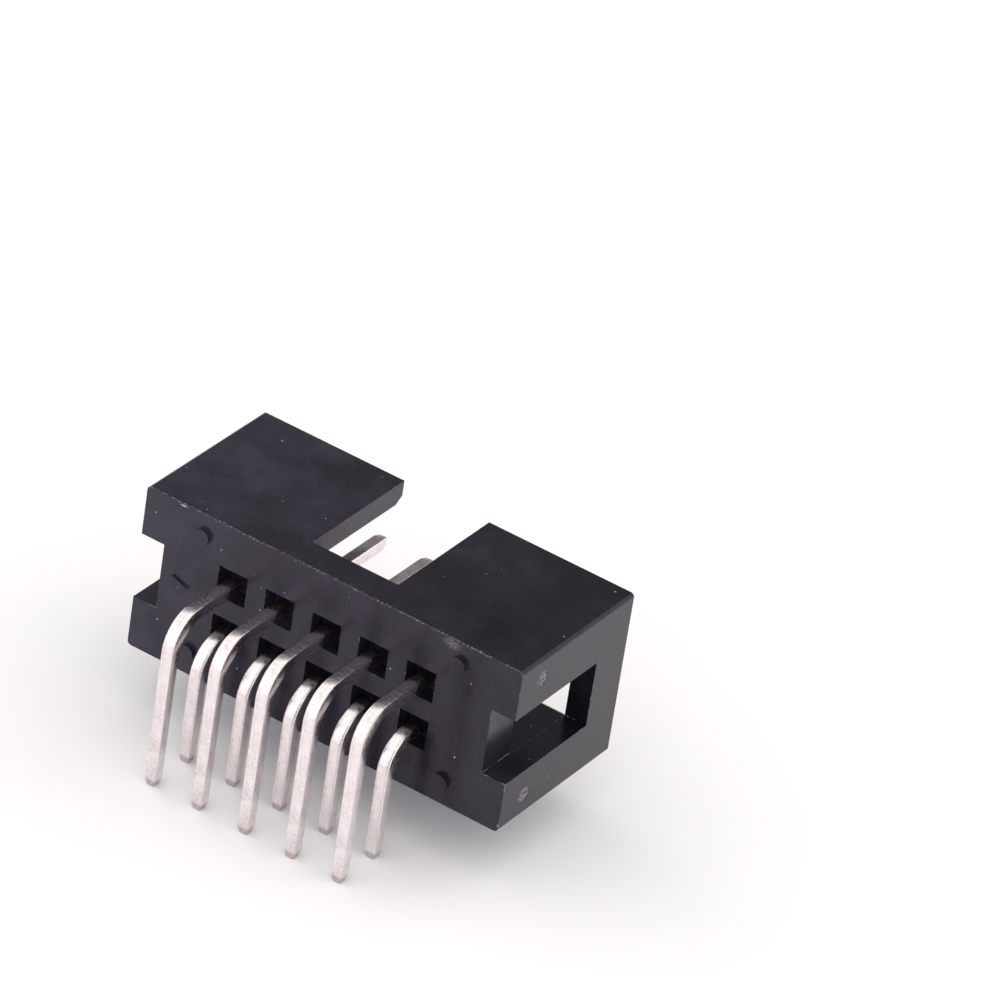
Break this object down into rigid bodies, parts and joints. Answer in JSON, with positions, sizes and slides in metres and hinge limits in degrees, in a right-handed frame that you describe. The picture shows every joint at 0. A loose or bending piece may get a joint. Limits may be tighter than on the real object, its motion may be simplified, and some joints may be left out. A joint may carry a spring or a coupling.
{
  "type": "idc box header",
  "caption": "Right-angle shrouded header for a ribbon cable plug, with bent square pins, a keyway in the top wall and open slots in the end walls.",
  "frame": {"origin": "centre of the shroud's underside, which sits on the board", "axes": "+X along the rows of contacts towards the first contact, +Y to the rear where the pins leave, +Z away from the board; the mouth faces -Y"},
  "size_m": [0.0202, 0.0133, 0.0114],
  "materials": {
    "moulded_plastic": "satin black moulding",
    "tinned_pin": "bright tin plate over brass"
  },
  "bodies": {
    "root": {"shroud": "moulded_plastic", "upper_pin_1": "tinned_pin", "upper_pin_2": "tinned_pin", "upper_pin_3": "tinned_pin", "upper_pin_4": "tinned_pin", "upper_pin_5": "tinned_pin", "lower_pin_1": "tinned_pin", "lower_pin_2": "tinned_pin", "lower_pin_3": "tinned_pin", "lower_pin_4": "tinned_pin", "lower_pin_5": "tinned_pin"}
  },
  "joints": []
}
